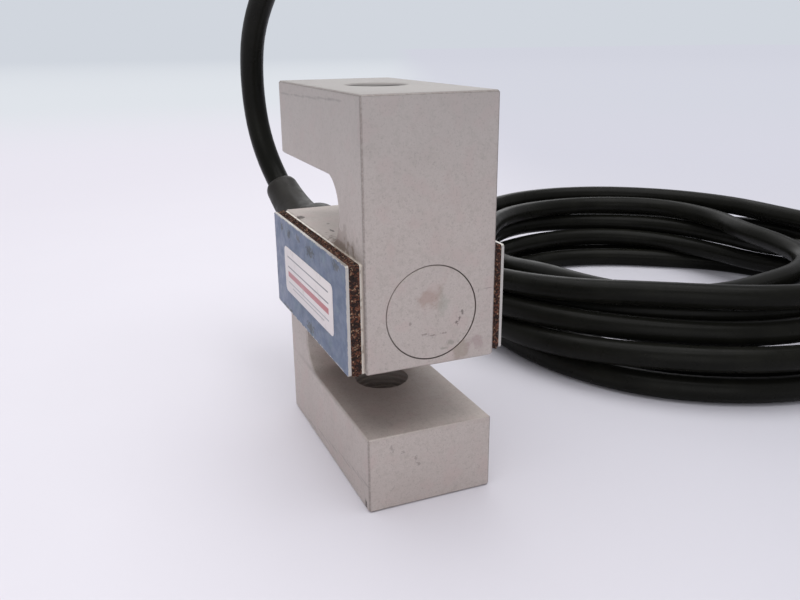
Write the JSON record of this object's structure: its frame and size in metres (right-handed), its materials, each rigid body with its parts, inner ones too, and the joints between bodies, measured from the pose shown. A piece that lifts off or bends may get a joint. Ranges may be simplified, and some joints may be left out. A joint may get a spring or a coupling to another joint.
{
  "type": "s type load cell",
  "caption": "S shaped aluminium load cell for tension and compression, with a threaded hole in each end face, sealed side covers and a coiled cable.",
  "frame": {"origin": "middle of the lower bar's underside, on the load axis, level with the surface it stands on", "axes": "+Z along the load axis from the lower threaded hole to the upper one, X along the S profile with the cable leaving at -X and the round end plug at +X, Y through the thickness with the labelled cover at -Y"},
  "size_m": [0.153, 0.2486, 0.1211],
  "materials": {
    "blasted_aluminium": "fine bead blasted, clear anodised, satin",
    "turned_aluminium": "fine turned, clear anodised, satin",
    "bright_foil": "bright cut edge",
    "cork_gasket": "dark cork and rubber composition, coarse grain",
    "blue_cover": "steel blue printed face, bare cut edges",
    "gauge_film": "amber film with metal foil grid",
    "copper_terminals": "tinned copper pads",
    "potting_silicone": "translucent soft silicone",
    "enamelled_wire": "enamelled copper wire",
    "red_insulation": "smooth extruded insulation",
    "black_insulation": "smooth extruded insulation",
    "green_insulation": "smooth extruded insulation",
    "white_insulation": "smooth extruded insulation",
    "board_laminate": "glass laminate",
    "spool_plastic": "moulded bobbin",
    "resistor_body": "coated chip",
    "relief_rubber": "moulded black rubber, satin",
    "brass_ferrule": "crimped brass",
    "cable_jacket": "black extruded jacket, satin",
    "shrink_sleeve": "black shrink tubing",
    "tinned_copper": "tinned strands"
  },
  "bodies": {
    "root": {"spring_element": "blasted_aluminium", "end_plug": "turned_aluminium", "front_barrier_foil": "bright_foil", "rear_barrier_foil": "bright_foil", "front_gasket": "cork_gasket", "rear_gasket": "cork_gasket", "front_cover_plate": "blue_cover", "rear_cover_plate": "blue_cover", "front_gauge_left": "gauge_film", "front_gauge_right": "gauge_film", "rear_gauge_left": "gauge_film", "rear_gauge_right": "gauge_film", "front_terminal_strip": "copper_terminals", "rear_terminal_strip": "copper_terminals", "front_potting": "potting_silicone", "rear_potting": "potting_silicone", "front_bridge_wires": "enamelled_wire", "rear_bridge_wires": "enamelled_wire", "inner_conductor_red": "red_insulation", "inner_conductor_black": "black_insulation", "inner_conductor_green": "green_insulation", "inner_conductor_white": "white_insulation", "compensation_board": "board_laminate", "balance_spool": "spool_plastic", "balance_winding": "enamelled_wire", "span_resistors": "resistor_body", "strain_relief": "relief_rubber", "cable_ferrule": "brass_ferrule", "cable_tube": "cable_jacket", "cable_coil": "cable_jacket", "cable_tail": "cable_jacket", "cable_end_sleeve": "shrink_sleeve", "lead_red": "red_insulation", "lead_black": "black_insulation", "lead_green": "green_insulation", "lead_white": "white_insulation", "lead_tips": "tinned_copper", "drain_wire": "tinned_copper"}
  },
  "joints": []
}
